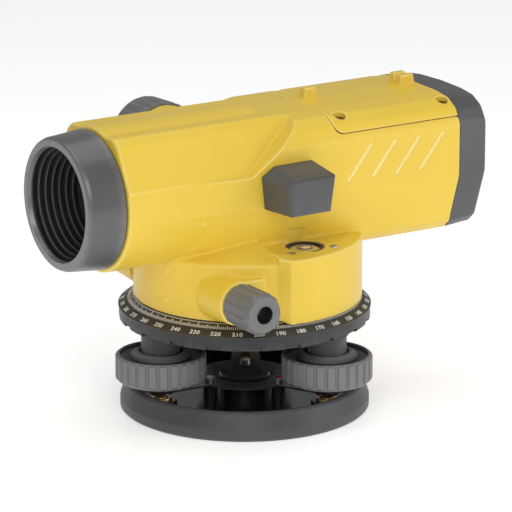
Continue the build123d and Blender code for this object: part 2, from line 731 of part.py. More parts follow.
def rear_cap():
    """Tapered end cap with the eyepiece boss."""
    steps = [(REAR_X1, 0.0), (CAP_X1 - 1.7, 0.8), (CAP_X1 - 0.6, 1.3), (CAP_X1, 2.3)]
    sections = [Plane.YZ.offset(x) * rear_section(shrink=shrink) for x, shrink in steps]
    cap = Part()
    for front, back in zip(sections[:-1], sections[1:]):
        cap = cap + loft([front, back], ruled=True)
    hollow = section_x(rear_section(WALL + 1.4), REAR_X1 - 1, CAP_X1 - 3.0)
    cap = cap - hollow + rod_x(12.5, 86.0, CAP_X1) + rod_x(20.0, CAP_X1 - 7.0, CAP_X1 - 1.0)
    cap = cap - rod_x(17.5, CAP_X1 - 3.0, 120) + rod_x(11.0, CAP_X1 - 4.0, 105.0)
    cap = cap - rod_x(9.6, 92.0, 120) - rod_x(8.0, 89.4, 92.0) - rod_x(6.8, 80.0, 89.4)
    for y, z in cap_screw_points():
        post = section_x(Pos(y, z) * Circle(3.4), REAR_X1, CAP_X1 - 2.0)
        cap = cap + (post & section_x(rear_section(1.9), REAR_X1, CAP_X1))
        cap = cap - rod_x(1.4, 80, 120, y, z) - rod_x(2.6, CAP_X1 - 2.4, 120, y, z)
    return cap


def cap_screws():
    screws = []
    for y, z in cap_screw_points():
        screw = rod_x(1.2, 82.0, CAP_X1 - 2.4, y, z) + rod_x(2.4, CAP_X1 - 2.4, CAP_X1 - 1.0, y, z)
        screws.append(screw - box((CAP_X1 - 1.7, CAP_X1), (y - 1.7, y + 1.7), (z - 0.3, z + 0.3)))
    return screws


def bottom_plate():
    """Closes the drum and carries the standing axis's bearing."""
    plate = rod_z(DRUM_CAVITY_R, DRUM_Z0 - 0.2, DRUM_Z0 + 2.0) + rod_z(16.0, DRUM_Z0 - 0.2, 58.0)
    return plate - rod_z(SPINDLE_R + 2.5, 40, 70)


def axis_bearing():
    """Bronze bush that turns on the spindle and rests on its flange."""
    return ring_z(SPINDLE_R + 2.5, SPINDLE_R + RUNNING_CLEARANCE, FLANGE_Z + 0.05, 58.0)


# ---------------------------------------------------------------- objective
def objective_hood():
    """Hood with stepped baffle ridges inside, screwed into the tube's front."""
    inner = []
    pitch = 2.75
    for i in range(HOOD_STEPS):
        x = HOOD_FRONT_X + 1.6 + i * pitch
        r = HOOD_MOUTH_R - 1.0 * i
        inner += [(x, r), (x + 0.7, r), (x + 0.8, r + 2.2), (x + pitch, r + 2.0)]
    last_x = HOOD_FRONT_X + 1.6 + HOOD_STEPS * pitch
    outline = [
        (HOOD_FRONT_X, HOOD_MOUTH_R + 0.6),
        *inner,
        (last_x, LENS_R + 0.9),
        (-70.0, LENS_R + 0.9),
        (-70.0, 26.0),
        (TUBE_FRONT_X - 0.15, 26.0),
        (TUBE_FRONT_X - 0.15, HOOD_BACK_R - 0.8),
        (TUBE_FRONT_X - 1.0, HOOD_BACK_R),
        (HOOD_FRONT_X + 2.0, HOOD_FRONT_R + 0.2),
        (HOOD_FRONT_X + 0.6, HOOD_FRONT_R - 0.3),
        (HOOD_FRONT_X, HOOD_FRONT_R - 1.1),
    ]
    return turned_x(outline)


def lens_solid(front, back, r, front_sag, back_sag):
    """A lens between two vertices on the telescope axis: a face with a minus sag is hollow."""
    body = rod_x(r, front + min(front_sag, 0.0), back - min(back_sag, 0.0))
    for vertex, sag, inwards in ((front, front_sag, 1), (back, back_sag, -1)):
        if sag:
            edge_r = r if sag > 0 else r - 0.8
            ball_r = (edge_r * edge_r + sag * sag) / (2 * abs(sag))
            side = inwards if sag > 0 else -inwards
            ball = Pos(vertex + side * ball_r, 0, AXIS_Z) * Sphere(ball_r)
            body = (body & ball) if sag > 0 else (body - ball)
    return body


def objective_cell():
    """Threaded cell with a seat for the doublet and a spigot for the focusing guide."""
    return turned_x(
        [
            (-69.9, LENS_R + 1.6),
            (-69.9, 26.0),
            (-61.0, 26.0),
            (-61.0, GUIDE_R_OUT + 1.5),
            (-55.0, GUIDE_R_OUT + 1.5),
            (-55.0, GUIDE_R_OUT),
            (-59.0, GUIDE_R_OUT),
            (-59.0, LENS_R - 2.4),
            (-61.4, LENS_R - 2.4),
            (-61.4, LENS_R),
            (-68.3, LENS_R),
            (-68.3, LENS_R + 1.6),
        ]
    )


def lens_ring():
    """Retaining ring that holds the doublet in its cell."""
    return ring_x(LENS_R + 1.6, LENS_R - 1.2, -69.6, -68.3) + ring_x(LENS_R - 0.05, LENS_R - 1.2, -68.3, -67.3)


def objective_lenses():
    """Doublet: a crown lens in front and a hollow-fronted rear lens."""
    return [lens_solid(-68.3, -64.3, LENS_R, 1.3, 1.2), lens_solid(-64.1, -61.4, LENS_R, -1.2, 0.0)]


# ---------------------------------------------------------------- focusing
def focus_guide():
    """Fixed tube that the focusing cell slides in, slotted for the rack's arm."""
    tube = ring_x(GUIDE_R_OUT, GUIDE_R_IN, -59.0, GUIDE_X1)
    slot = box((-40.0, 0.5), (5.0, 20.0), (RACK_Z0 - 3.6, RACK_Z0 + 0.6))
    return tube - slot


def focus_cell():
    """Sliding cell with a seat for its lens and an arm out through the slot."""
    cell = ring_x(GUIDE_R_IN - 0.05, 10.4, CELL_X0, CELL_X1) + ring_x(10.8, 8.8, CELL_X0 + 4.0, CELL_X0 + 5.5)
    arm = box((CELL_X0 + 2, CELL_X1 - 2), (11.0, RACK_Y[1]), (RACK_Z0 - 3.0, RACK_Z0))
    return cell + (arm - rod_x(GUIDE_R_IN - 0.8, CELL_X0 - 1, CELL_X1 + 1))


def focus_rack():
    """Rack on the cell's arm, under the pinion."""
    pitch = 2 * pi * PINION_R / PINION_TEETH
    count = 17
    addendum, dedendum = 0.35, 0.6
    x0 = FOCUS_X - (count - 1) / 2 * pitch
    points = [(x0 - pitch / 2, RACK_Z0), (x0 - pitch / 2, RACK_TOP - dedendum)]
    for i in range(count):
        middle = x0 + i * pitch
        points += [
            (middle - 0.27 * pitch, RACK_TOP - dedendum),
            (middle - 0.13 * pitch, RACK_TOP + addendum),
            (middle + 0.13 * pitch, RACK_TOP + addendum),
            (middle + 0.27 * pitch, RACK_TOP - dedendum),
        ]
    end = x0 + (count - 0.5) * pitch
    points += [(end, RACK_TOP - dedendum), (end, RACK_Z0)]
    return profile_y(points, *RACK_Y)


def focus_pinion():
    """Pinion cut on the focusing shaft, with a gap facing down to the rack's middle tooth."""
    outline = Rot(0, 0, 90.0 + 180.0 / PINION_TEETH) * gear_outline(PINION_TEETH, PINION_R, 0.35, 0.6, 0.42)
    teeth = Rot(90, 0, 0) * extrude(outline, RACK_Y[1] - RACK_Y[0] + 1.0, dir=(0, 0, 1))
    pinion = Pos(FOCUS_X, RACK_Y[1] + 0.5, FOCUS_Z) * teeth
    return pinion + rod_y(2.0, RACK_Y[1], KNOB_END_Y - 5.0, FOCUS_X, FOCUS_Z)


def focus_bush():
    """Bush that the focusing shaft turns in."""
    bush = rod_y(4.0, 25.0, FOCUS_KNOB_Y0 - 0.4, FOCUS_X, FOCUS_Z)
    return bush - rod_y(2.0 + RUNNING_CLEARANCE, 20, 60, FOCUS_X, FOCUS_Z)


def focus_knob():
    """Large fluted knob on the focusing shaft."""
    length = KNOB_END_Y - FOCUS_KNOB_Y0
    blank = fluted_z(FOCUS_KNOB_R, 0, length, 22, 1.8, 0.8)
    trim = turned_z(
        [
            (0, 0),
            (FOCUS_KNOB_R - 0.6, 0),
            (FOCUS_KNOB_R, 0.6),
            (FOCUS_KNOB_R - 0.6, length - 2.5),
            (FOCUS_KNOB_R - 2.4, length),
            (0, length),
        ]
    )
    knob = (blank & trim) - rod_z(8.0, length - 1.2, length + 1) - rod_z(2.0, -1, length - 5.0)
    return Pos(FOCUS_X, FOCUS_KNOB_Y0, FOCUS_Z) * Rot(-90, 0, 0) * knob


# ---------------------------------------------------------------- compensator
def compensator_frame():
    """Fixed frame on the housing's floor, with the bridge that the pendulum hangs from."""
    x0, x1 = FRAME_X
    frame = box((x0, x1), (-15.0, 15.0), (FLOOR_Z, FLOOR_Z + 3.0))
    frame = frame + box((FRAME_MID - 4.5, FRAME_MID + 4.5), (-15.0, 15.0), (BRIDGE_Z, BRIDGE_Z + 2.4))
    for side in (-1, 1):
        wall = sorted((side * 12.0, side * 15.0))
        frame = frame + box((x0, x1), wall, (BRIDGE_Z, BRIDGE_Z + 2.4))
        frame = frame + box((x0, x0 + 4.5), wall, (FLOOR_Z, BRIDGE_Z + 1.0))
        frame = frame + box((x1 - 4.5, x1), wall, (FLOOR_Z, BRIDGE_Z + 1.0))
    return frame


def suspension_tapes():
    """Four thin tapes from the bridge to the pendulum's yoke."""
    return [
        box((x - 0.7, x + 0.7), (y - 0.15, y + 0.15), (YOKE_Z, BRIDGE_Z - 0.12))
        for x in (FRAME_MID - 3.0, FRAME_MID + 3.0)
        for y in (-9.0, 9.0)
    ]


def pendulum():
    """Swinging block: yoke, side cheeks, prism seat and the damper's vane on a stem."""
    x = (FRAME_MID - 5.5, FRAME_MID + 5.5)
    block = box(x, (-10.5, 10.5), (YOKE_Z - 3.0, YOKE_Z)) + box(x, (-10.5, 10.5), (90.0, 92.5))
    for side in (-1, 1):
        block = block + box(x, sorted((side * 8.6, side * 10.5)), (90.0, YOKE_Z))
    stem = box((FRAME_MID - 2.0, FRAME_MID + 2.0), (-2.0, 2.0), (83.0, 90.0))
    vane = box((FRAME_MID - 5.0, FRAME_MID + 5.0), (-5.5, 5.5), (81.8, 83.2))
    return block + stem + vane


def pendulum_prism():
    """Roof-shaped prism carried by the pendulum."""
    low, high = FRAME_MID - 5.2, FRAME_MID + 5.2
    return profile_y([(low, 92.5), (high, 92.5), (high, 98.0), (FRAME_MID, 106.0), (low, 98.0)], -8.6, 8.6)


def fixed_prisms():
    """Two prisms fixed between the frame's walls, before and behind the pendulum."""
    x0, x1 = FRAME_X
    front = profile_y([(x0 + 0.6, 96.0), (x0 + 7.0, 96.0), (x0 + 7.0, 109.0), (x0 + 0.6, 101.5)], -12.0, 12.0)
    back = profile_y([(x1 - 7.0, 96.0), (x1 - 0.6, 96.0), (x1 - 0.6, 101.5), (x1 - 7.0, 109.0)], -12.0, 12.0)
    return [front, back]


def damper_magnets():
    """Two magnets on the frame's floor, one each side of the vane."""
    return [
        box((FRAME_MID - 5.0, FRAME_MID + 5.0), sorted((s * 6.6, s * 10.2)), (FLOOR_Z + 3.0, 85.0)) for s in (-1, 1)
    ]


# ---------------------------------------------------------------- eyepiece
def reticle_mount():
    """Ring that clamps the reticle in the cap's boss."""
    return ring_x(9.6, 6.8, 92.0, 93.5) + ring_x(8.0, 6.8, 90.6, 92.0)


def reticle():
    return rod_x(8.0, 89.4, 90.6)


def eyepiece_cell():
    """Sliding eyepiece tube."""
    return ring_x(9.55, 7.6, 95.2, 112.4)


def eye_lenses():
    return [lens_solid(97.0, 100.6, 7.6, 0.9, 0.2), lens_solid(106.6, 111.2, 7.6, 0.3, 1.1)]


def diopter_ring():
    """Knurled ring that drives the eyepiece in and out."""
    x0, x1 = 100.9, 110.4
    outer = Rot(0, 90, 0) * fluted_z(14.5, x0, x1, 30, 0.9, 0.5)
    outer = Pos(0, 0, AXIS_Z) * outer
    return outer - rod_x(11.3, x0 - 1, x0 + 4.6) - rod_x(9.8, x0, x1 + 1)


def eyecup():
    """Soft rubber cup on the eyepiece tube."""
    return turned_x(
        [
            (112.0, 9.55),
            (112.0, 13.0),
            (113.6, 13.8),
            (EYE_END_X - 0.6, 13.0),
            (EYE_END_X, 12.2),
            (EYE_END_X - 0.4, 11.2),
            (114.2, 8.6),
            (112.4, 7.6),
            (112.4, 9.55),
        ]
    )


# ---------------------------------------------------------------- circular level
def level_cup():
    """Cup that holds the vial in the plate's well."""
    x, y = LEVEL_XY
    return ring_z(LEVEL_R, 7.2, 70.5, PLATE_Z - 0.6, x, y) + rod_z(LEVEL_R, 70.5, 72.0, x, y)


def level_vial():
    """Domed glass vial."""
    x, y = LEVEL_XY
    return turned_z([(0, 72.0), (7.2, 72.0), (7.2, PLATE_Z - 1.6), (5.0, PLATE_Z - 1.0), (0, PLATE_Z - 0.7)], x, y)


def level_screws():
    return [
        rod_z(1.1, 71.0, PLATE_Z - 0.9, x, y)
        + (rod_z(1.9, PLATE_Z - 0.9, PLATE_Z - 0.2, x, y) - rod_z(0.8, PLATE_Z - 0.7, 82, x, y))
        for x, y in level_screw_points()
    ]


def prism_hood():
    """Angular hood over the level's prism, open below and towards the eyepiece."""
    x0, x1 = HOOD_X
    z0, z1 = HOOD_Z
    root = [(x0 + 0.4, z0), (x1 - 1.8, z0), (x1 + 0.6, z1 + 0.7), (x0 + 5.2, z1 + 0.6), (x0 - 1.2, z1 - 3.5)]
    end = [(x0 + 1.6, z0 + 0.6), (x1 - 2.3, z0 + 0.6), (x1, z1 - 1.4), (x0 + 4.2, z1 - 1.4), (x0 - 0.3, z1 - 4.2)]
    middle = (sum(x for x, z in end) / 5, sum(z for x, z in end) / 5)
    faces = [make_face(Plane.XZ.offset(-HOOD_Y[1]) * Polyline(*root, close=True))]
    for y, share in ((HOOD_Y[0] + 1.5, 1.0), (HOOD_Y[0] + 0.4, 0.95), (HOOD_Y[0], 0.88)):
        points = [(middle[0] + share * (x - middle[0]), middle[1] + share * (z - middle[1])) for x, z in end]
        faces.append(make_face(Plane.XZ.offset(-y) * Polyline(*points, close=True)))
    hood = Part()
    for back, front in zip(faces[:-1], faces[1:]):
        hood = hood + loft([back, front], ruled=True)
    hollow = [(x0 + 3.3, z0 - 3), (x1 + 3, z0 - 3), (x1 + 3, z1 - 3.2), (x0 + 5.7, z1 - 3.2), (x0 + 2.7, z1 - 5.8)]
    return hood - profile_y(hollow, HOOD_Y[0] + 2.4, HOOD_Y[1] - 2.0)


def level_prism():
    """Glass prism that turns the view of the bubble towards the eyepiece."""
    x0, x1 = HOOD_X
    z0, z1 = HOOD_Z
    outline = [(x0 + 4.0, z0 + 1.2), (x1 - 3.4, z0 + 1.2), (x1 - 3.4, z1 - 3.4)]
    return profile_y(outline, HOOD_Y[0] + 2.4, HOOD_Y[1] - 2.0)


# ---------------------------------------------------------------- write the nodes
save("base_plate", base_plate())
save("tripod_bush", tripod_bush())
save("spring_plate", spring_plate())
save("spring_plate_screws", *spring_plate_screws())
for place, angle in FOOT_ANGLES.items():
    foot_x, foot_y, _ = polar(FOOT_CIRCLE_R, angle)
    save(f"foot_spindle_{place}", foot_spindle(foot_x, foot_y))
    save(f"foot_knob_{place}", foot_knob(foot_x, foot_y))
rear_feet = [polar(FOOT_CIRCLE_R, FOOT_ANGLES[place])[:2] for place in ("left", "right")]
for place, angle in FOOT_ANGLES.items():
    save(f"foot_shoe_{place}", foot_shoe(*polar(FOOT_CIRCLE_R, angle)[:2]))
save("rear_thrust_washers", *[thrust_washer(x, y) for x, y in rear_feet])
save("front_thrust_washer", thrust_washer(*polar(FOOT_CIRCLE_R, FOOT_ANGLES["front"])[:2]))
save("head_casting", head_casting())
save("foot_bushes", *foot_bushes())
save("spindle", spindle())
save("retaining_clip", retaining_clip())
save("horizontal_circle", horizontal_circle())
save("drive_gear", drive_gear())
save("worm", worm())
save("fine_shaft", fine_shaft())
save("fine_knobs", fine_knob(-1), fine_knob(1))
save("fine_bearings", *fine_bearings())
save("main_housing", main_housing())
save("top_cover", top_cover())
save("cover_screws", *cover_screws())
save("rear_cap", rear_cap())
save("cap_screws", *cap_screws())
save("bottom_plate", bottom_plate())
save("axis_bearing", axis_bearing())
save("objective_hood", objective_hood())
save("objective_cell", objective_cell())
save("lens_ring", lens_ring())
save("objective_lenses", *objective_lenses())
save("focus_guide", focus_guide())
save("focus_cell", focus_cell())
save("focus_rack", focus_rack())
save("focus_lens", lens_solid(CELL_X0 + 6.4, CELL_X0 + 7.6, 10.4, -0.9, -0.9))
save("focus_pinion", focus_pinion())
save("focus_bush", focus_bush())
save("focus_knob", focus_knob())
save("compensator_frame", compensator_frame())
save("suspension_tapes", *suspension_tapes())
save("pendulum", pendulum())
save("pendulum_prism", pendulum_prism())
save("fixed_prisms", *fixed_prisms())
save("damper_magnets", *damper_magnets())
save("reticle_mount", reticle_mount())
save("reticle", reticle())
save("eyepiece_cell", eyepiece_cell())
save("eye_lenses", *eye_lenses())
save("diopter_ring", diopter_ring())
save("eyecup", eyecup())
save("level_cup", level_cup())
save("level_vial", level_vial())
save("level_screws", *level_screws())
save("prism_hood", prism_hood())
save("level_prism", level_prism())
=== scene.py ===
"""Looks of an automatic level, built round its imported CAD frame. Metres, +Z up."""
import json
import math
import bpy
import bmesh
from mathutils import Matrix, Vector

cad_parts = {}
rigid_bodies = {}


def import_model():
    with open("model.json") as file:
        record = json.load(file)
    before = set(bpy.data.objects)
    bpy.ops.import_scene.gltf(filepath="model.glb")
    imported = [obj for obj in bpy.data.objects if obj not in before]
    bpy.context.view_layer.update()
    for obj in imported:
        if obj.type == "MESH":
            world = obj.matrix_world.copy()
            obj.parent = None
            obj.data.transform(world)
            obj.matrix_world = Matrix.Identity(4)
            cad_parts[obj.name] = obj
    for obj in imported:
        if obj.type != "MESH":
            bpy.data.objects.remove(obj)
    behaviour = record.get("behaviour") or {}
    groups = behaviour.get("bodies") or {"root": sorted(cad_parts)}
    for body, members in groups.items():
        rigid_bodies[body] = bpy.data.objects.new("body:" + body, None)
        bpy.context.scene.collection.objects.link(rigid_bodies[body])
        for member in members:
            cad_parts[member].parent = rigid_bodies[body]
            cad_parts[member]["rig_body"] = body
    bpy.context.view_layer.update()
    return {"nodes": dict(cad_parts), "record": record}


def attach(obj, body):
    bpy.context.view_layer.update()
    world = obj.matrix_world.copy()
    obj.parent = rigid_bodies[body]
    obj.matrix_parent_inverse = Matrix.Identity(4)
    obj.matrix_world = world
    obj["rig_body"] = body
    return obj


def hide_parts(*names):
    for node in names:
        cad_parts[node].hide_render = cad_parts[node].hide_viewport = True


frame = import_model()
NODES = frame["nodes"]
MM = 0.001

# ------------------------------------------------------------------ measures, in millimetres
AXIS_Z = 102.5  # the telescope's axis
RIDGE_X, RIDGE_R = -90.9, 24.0  # the hood's first ridge
RIDGE_RUN = 2.75  # how far back the ridges go for each millimetre inwards
LIP_X, LAST_RIDGE_X = -90.6, -73.5  # behind the hood's front lip, and where its ridges end
HOOD_BORE_R = 27.0  # just beyond the widest radius inside the hood
HALF_GROOVE = 1.1  # half the depth of the grooves between its ridges
KNOB_DISH_Z, KNOB_WELL_Z = 28.6, 22.5  # just above the floors of a foot knob's dish and well
FINE_X, FINE_Z, FINE_RECESS_R = -31.0, 61.3, 3.9  # the fine motion knobs and the recess in their ends
BASE_LOW, BASE_HIGH, BASE_INNER_R = 4.0, 14.5, 49.3  # the hollow inside the base plate's rim
GRIP_X, GRIP_PITCH, GRIP_Z, GRIP_COUNT = 36.1, 12.3, 110.8, 4  # slanted grip grooves of the housing
GRIP_LEAN = math.radians(38.5)
GRIP_HIGHLIGHT = (0.15, 1.15)  # painted highlight on the groove's lit wall, across the groove
GRIP_HALF_LENGTH = 9.8
SIDE_Y, SIDE_X = (33.6, 34.66), (28.0, 82.0)  # where the grooves' edges are on the housing's sides
EDGE_R, EDGE_Z = 54.5, 46.1  # foot of the circle's number band
BREAK_R, BREAK_Z = 50.6, 48.5  # where the number band meets the tick band
TOP_R, TOP_Z = 47.6, 50.5  # top of the tick band
NUMBER_BAND = ((EDGE_R, EDGE_Z), (BREAK_R, BREAK_Z))
TICK_BAND = ((BREAK_R, BREAK_Z), (TOP_R, TOP_Z))
TICK_BAND_LOW = 48.4  # just below where the two bands meet
ZERO_ANGLE = math.radians(84.5)  # where the circle's zero stands at rest
NUMBER_SIZE = 2.85
LEVEL_X, LEVEL_Y = 6.6, -37.2  # the circular level
VIAL_TOP = 78.3
MARK_R0, MARK_R1 = 2.9, 3.25  # the level's ring mark
BUBBLE_R = 2.1
LACQUER_Z, LACQUER_R = 14.55, 1.9  # drops of lacquer on the spring plate's screws


# ------------------------------------------------------------------ materials
def node_material(name, base, rough, metal=0.0):
    """A node material with a Principled shader whose constants sit on its own sockets."""
    m = bpy.data.materials.new(name)
    m.use_nodes = True
    b = m.node_tree.nodes["Principled BSDF"]
    b.inputs["Base Color"].default_value = (*base, 1)
    b.inputs["Roughness"].default_value = rough
    b.inputs["Metallic"].default_value = metal
    return m, m.node_tree, b


def add(tree, kind, **inputs):
    """A shader node with some of its inputs set."""
    n = tree.nodes.new(kind)
    for k, v in inputs.items():
        n.inputs[k].default_value = v
    return n


def coordinates(tree, scale=(1, 1, 1)):
    """Object coordinates in metres, stretched by scale."""
    tc = tree.nodes.new("ShaderNodeTexCoord")
    mp = tree.nodes.new("ShaderNodeMapping")
    mp.inputs["Scale"].default_value = scale
    tree.links.new(tc.outputs["Object"], mp.inputs["Vector"])
    return mp.outputs["Vector"]


def noise(tree, vec, scale, detail, rough=0.5):
    """Noise as a factor from 0 to 1."""
    n = add(tree, "ShaderNodeTexNoise", Scale=scale, Detail=detail, Roughness=rough)
    tree.links.new(vec, n.inputs["Vector"])
    return n.outputs["Fac"]


def ramp(tree, fac, stops):
    """Colours along a factor, from (position, colour) stops."""
    r = tree.nodes.new("ShaderNodeValToRGB")
    els = r.color_ramp.elements
    while len(els) < len(stops):
        els.new(0.5)
    for e, (p, c) in zip(els, stops):
        e.position = p
        e.color = (*c, 1)
    tree.links.new(fac, r.inputs["Fac"])
    return r.outputs["Color"]


def grey(v):
    return (v, v, v)


def bump(tree, shader, height, strength, distance):
    """Fine relief on a shader's normal; the distance is in metres."""
    b = add(tree, "ShaderNodeBump", Strength=strength, Distance=distance)
    tree.links.new(height, b.inputs["Height"])
    tree.links.new(b.outputs["Normal"], shader.inputs["Normal"])


def edge_mix(tree, colour, highlight_colour, amount, low, high):
    """Mixes in a paler colour along sharp outer edges: a painted highlight."""
    g = tree.nodes.new("ShaderNodeNewGeometry")
    fac = ramp(tree, g.outputs["Pointiness"], [(low, grey(0)), (high, grey(amount))])
    mix = tree.nodes.new("ShaderNodeMix")
    mix.data_type = "RGBA"
    tree.links.new(fac, mix.inputs["Factor"])
    tree.links.new(colour, mix.inputs["A"])
    mix.inputs["B"].default_value = (*highlight_colour, 1)
    return mix.outputs["Result"]


def surface(name, dark, light, rough, metal=0.0, cloud=60.0, grain=2500.0, grain_depth=0.00003,
            grain_strength=0.25, edge=None, edge_range=(0.52, 0.62), coat=0.0, coat_rough=0.2,
            stretch=(1, 1, 1), specular=0.5):
    """Colour clouds, uneven gloss and a fine moulded or cast grain, with a painted highlight on edges."""
    m, t, b = node_material(name, light, rough[0], metal)
    v = coordinates(t, stretch)
    colour = ramp(t, noise(t, v, cloud, 4.0), [(0.3, dark), (0.7, light)])
    # the edge colour is a painted highlight, mixed in along sharp outer edges
    if edge:
        colour = edge_mix(t, colour, edge[0], edge[1], *edge_range)
    t.links.new(colour, b.inputs["Base Color"])
    shine = noise(t, v, cloud * 2.3, 5.0, 0.6)
    gloss = ramp(t, shine, [(0.3, grey(rough[0])), (0.7, grey(rough[1]))])
    t.links.new(gloss, b.inputs["Roughness"])
    bump(t, b, noise(t, v, grain, 2.0), grain_strength, grain_depth)
    b.inputs["Coat Weight"].default_value = coat
    b.inputs["Coat Roughness"].default_value = coat_rough
    b.inputs["Specular IOR Level"].default_value = specular
    return m


def glass(name, tint, rough, ior, coating=None):
    """Clear glass, with a coating colour that shows at grazing angles."""
    m, t, b = node_material(name, tint, rough)
    b.inputs["Transmission Weight"].default_value = 1.0
    b.inputs["IOR"].default_value = ior
    if coating:
        lw = add(t, "ShaderNodeLayerWeight", Blend=0.35)
        tinted = ramp(t, lw.outputs["Facing"], [(0.0, tint), (1.0, coating)])
        t.links.new(tinted, b.inputs["Base Color"])
    v = coordinates(t)
    r = ramp(t, noise(t, v, 90.0, 3.0), [(0.35, grey(rough)), (0.75, grey(rough + 0.04))])
    t.links.new(r, b.inputs["Roughness"])
    return m


# The edge colours given below are painted highlights along sharp edges.
YELLOW = surface("yellow_cast_paint", (0.775, 0.540, 0.052), (0.800, 0.560, 0.060), (0.36, 0.44),
                 cloud=22, grain=1500, grain_depth=0.00006, grain_strength=0.16,
                 edge=((0.90, 0.74, 0.30), 0.55), edge_range=(0.508, 0.545), coat=0.08, coat_rough=0.3,
                 specular=0.38)
# A paler yellow for the grip grooves' lit walls: a painted highlight.
YELLOW_PAINTED_HIGHLIGHT = surface("yellow_groove_painted_highlight", (0.88, 0.70, 0.26), (0.92, 0.75, 0.30), (0.30, 0.38),
                     cloud=22, grain=1500, grain_depth=0.00004, grain_strength=0.12)
GREY = surface("grey_moulded_plastic", (0.112, 0.112, 0.114), (0.140, 0.140, 0.143), (0.36, 0.46),
               cloud=45, grain=2600, grain_depth=0.00005, grain_strength=0.35,
               edge=((0.24, 0.24, 0.245), 0.5))
CAP = surface("cap_plastic", (0.066, 0.067, 0.069), (0.088, 0.089, 0.092), (0.40, 0.52),
              cloud=45, grain=2600, grain_depth=0.00005, grain_strength=0.35,
              edge=((0.2, 0.2, 0.21), 0.45))
BASE = surface("base_dark_paint", (0.046, 0.046, 0.051), (0.062, 0.062, 0.068), (0.40, 0.55),
               cloud=30, grain=1800, grain_depth=0.00006, grain_strength=0.3,
               edge=((0.13, 0.13, 0.135), 0.5))
BLACK = surface("black_anodised", (0.016, 0.016, 0.018), (0.026, 0.026, 0.028), (0.28, 0.42),
                metal=0.3, cloud=60, grain=3500, grain_depth=0.00002, grain_strength=0.2,
                edge=((0.12, 0.12, 0.12), 0.4))
CIRCLE = surface("circle_black", (0.020, 0.020, 0.022), (0.030, 0.030, 0.032), (0.38, 0.5),
                 cloud=60, grain=3000, grain_depth=0.00003, grain_strength=0.25,
                 edge=((0.14, 0.14, 0.14), 0.5))
STEEL = surface("turned_steel", (0.42, 0.43, 0.44), (0.58, 0.59, 0.60), (0.22, 0.36),
                metal=1.0, cloud=300, grain=900, grain_depth=0.00002, grain_strength=0.25,
                stretch=(1, 1, 6))
BRASS = surface("turned_brass", (0.56, 0.37, 0.13), (0.74, 0.52, 0.22), (0.22, 0.36),
                metal=1.0, cloud=200, grain=900, grain_depth=0.00002, grain_strength=0.25,
                stretch=(1, 1, 6))
RUBBER = surface("eyecup_rubber", (0.014, 0.014, 0.014), (0.024, 0.024, 0.024), (0.7, 0.85),
                 cloud=80, grain=4000, grain_depth=0.00004, grain_strength=0.4)
MAGNET = surface("plated_magnet", (0.25, 0.25, 0.27), (0.34, 0.34, 0.36), (0.3, 0.45),
                 metal=0.9, cloud=120)
WHITE = surface("numeral_white_paint", (0.70, 0.70, 0.68), (0.82, 0.82, 0.80), (0.45, 0.6),
                cloud=400, grain=4000)
BAND = surface("circle_tick_band", (0.060, 0.061, 0.064), (0.085, 0.087, 0.091), (0.16, 0.24),
               metal=0.7, cloud=120, grain=2500, grain_depth=0.00001, grain_strength=0.1,
               coat=0.6, coat_rough=0.08)
SILVER = surface("circle_silver_band", (0.46, 0.47, 0.48), (0.60, 0.61, 0.62), (0.3, 0.42),
                 metal=0.5, cloud=200, grain=2500, stretch=(1, 1, 4))
BLACK_GLOSS = surface("black_glossy", (0.010, 0.009, 0.009), (0.018, 0.015, 0.014), (0.16, 0.26),
                      cloud=80, grain=3000, grain_depth=0.00002, grain_strength=0.15,
                      edge=((0.10, 0.09, 0.085), 0.5))
HOOD_GREY = surface("hood_anodised_grey", (0.096, 0.096, 0.098), (0.116, 0.116, 0.118), (0.27, 0.35),
                    metal=0.25, cloud=45, grain=2600, grain_depth=0.00003, grain_strength=0.25,
                    edge=((0.30, 0.30, 0.31), 0.6), edge_range=(0.53, 0.60), specular=0.6)
KNOB = surface("knob_grey_plastic", (0.118, 0.118, 0.121), (0.146, 0.146, 0.150), (0.45, 0.58),
               cloud=45, grain=2600, grain_depth=0.00005, grain_strength=0.3,
               edge=((0.26, 0.26, 0.265), 0.5))
KNOB_TOP = surface("knob_black_top", (0.012, 0.012, 0.013), (0.020, 0.020, 0.021), (0.30, 0.42),
                   cloud=60, grain=2600)
# Near-black for the hood's grooves and for the inside behind its last ridge: painted shade.
HOOD_GROOVE_SHADE = surface("hood_groove_painted_shade", (0.010, 0.010, 0.010), (0.020, 0.020, 0.020), (0.55, 0.7),
                     cloud=90, grain=3000, grain_depth=0.00003, edge=((0.07, 0.07, 0.07), 0.6))
BRONZE = surface("dulled_screw", (0.16, 0.10, 0.035), (0.24, 0.16, 0.06), (0.35, 0.5),
                 metal=0.8, cloud=300, grain=900)
BUBBLE = surface("level_bubble", (0.86, 0.80, 0.62), (0.93, 0.88, 0.74), (0.05, 0.10),
                 cloud=200, coat=1.0, coat_rough=0.03)
RED = surface("sealing_lacquer_red", (0.35, 0.01, 0.015), (0.5, 0.02, 0.02), (0.25, 0.4), cloud=600)
LENS = glass("coated_lens", (0.90, 0.96, 0.95), 0.01, 1.52, (0.72, 0.62, 0.90))
CLEAR = glass("clear_glass", (0.94, 0.97, 0.98), 0.02, 1.5)
FLUID = surface("level_fluid", (0.50, 0.36, 0.15), (0.62, 0.47, 0.22), (0.08, 0.14),
                cloud=90, grain=300, grain_depth=0.00001, grain_strength=0.05,
                coat=1.0, coat_rough=0.03)

